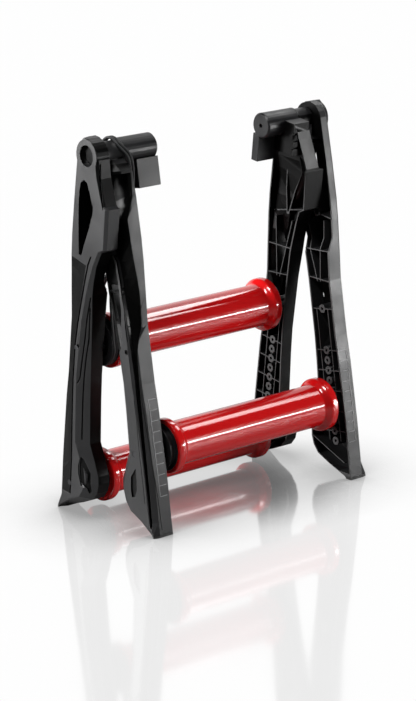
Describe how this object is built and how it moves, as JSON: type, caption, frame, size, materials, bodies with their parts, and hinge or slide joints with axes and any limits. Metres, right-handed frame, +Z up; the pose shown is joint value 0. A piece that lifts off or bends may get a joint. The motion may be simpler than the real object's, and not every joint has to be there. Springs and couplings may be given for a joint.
{
  "type": "folding bicycle training rollers",
  "caption": "Folding bicycle rollers stood up in an A: two black moulded ladder frames hinged at the top, with flanged red drums and a parked drive belt.",
  "frame": {"origin": "centre of the footprint on the floor, under the folded rollers", "axes": "+X to the right along the drums, +Y towards the back (the two-drum section), +Z up"},
  "size_m": [0.5224, 0.2644, 0.6902],
  "materials": {
    "black_plastic": "fine moulded grain, slight sheen",
    "red_drum": "smooth gloss",
    "belt_rubber": "smooth matt",
    "pad_rubber": "matt",
    "bright_steel": "turned",
    "dark_steel": "black oxide",
    "nylon": "smooth"
  },
  "bodies": {
    "rear_section": {"rear_rail_left": "black_plastic", "rear_rail_right": "black_plastic", "rear_foot_pad_left": "pad_rubber", "rear_foot_pad_right": "pad_rubber", "middle_axle": "bright_steel", "middle_axle_screw_left": "dark_steel", "middle_axle_screw_right": "dark_steel", "middle_spacer_left": "nylon", "middle_spacer_right": "nylon", "rear_axle": "bright_steel", "rear_axle_screw_left": "dark_steel", "rear_axle_screw_right": "dark_steel", "rear_spacer_left": "nylon", "rear_spacer_right": "nylon", "hinge_barrel_right": "black_plastic", "hinge_pin_right": "bright_steel", "hinge_nut_right": "dark_steel", "hinge_washer_right": "nylon", "drive_belt": "belt_rubber"},
    "front_section": {"front_rail_left": "black_plastic", "front_rail_right": "black_plastic", "front_foot_pad_left": "pad_rubber", "front_foot_pad_right": "pad_rubber", "front_axle": "bright_steel", "front_axle_screw_left": "dark_steel", "front_axle_screw_right": "dark_steel", "front_spacer_left": "nylon", "front_spacer_right": "nylon", "hinge_barrel_left": "black_plastic", "hinge_pin_left": "bright_steel", "hinge_nut_left": "dark_steel", "hinge_washer_left": "nylon"},
    "middle_drum_body": {"middle_drum": "red_drum", "middle_drum_cap_left": "black_plastic", "middle_drum_cap_right": "black_plastic", "middle_bearing_left": "bright_steel", "middle_bearing_right": "bright_steel", "middle_pulley": "black_plastic"},
    "rear_drum_body": {"rear_drum": "red_drum", "rear_drum_cap_left": "black_plastic", "rear_drum_cap_right": "black_plastic", "rear_bearing_left": "bright_steel", "rear_bearing_right": "bright_steel"},
    "front_drum_body": {"front_drum": "red_drum", "front_drum_cap_left": "black_plastic", "front_drum_cap_right": "black_plastic", "front_bearing_left": "bright_steel", "front_bearing_right": "bright_steel", "front_pulley": "black_plastic"}
  },
  "joints": [
    {"name": "fold", "type": "hinge", "parent": "rear_section", "child": "front_section", "pos_m": [0, -0.00381, 0.659], "axis": [-1, 0, 0], "range_deg": [0, 164], "deforming": ["drive_belt"]},
    {"name": "middle_drum_spin", "type": "hinge", "parent": "rear_section", "child": "middle_drum_body", "pos_m": [-0.01235, 0.04688, 0.31268], "axis": [1, 0, 0], "continuous": true},
    {"name": "rear_drum_spin", "type": "hinge", "parent": "rear_section", "child": "rear_drum_body", "pos_m": [-0.01235, 0.08306, 0.05522], "axis": [1, 0, 0], "continuous": true},
    {"name": "front_drum_spin", "type": "hinge", "parent": "front_section", "child": "front_drum_body", "pos_m": [0.01235, -0.07851, 0.14186], "axis": [1, 0, 0], "continuous": true}
  ]
}
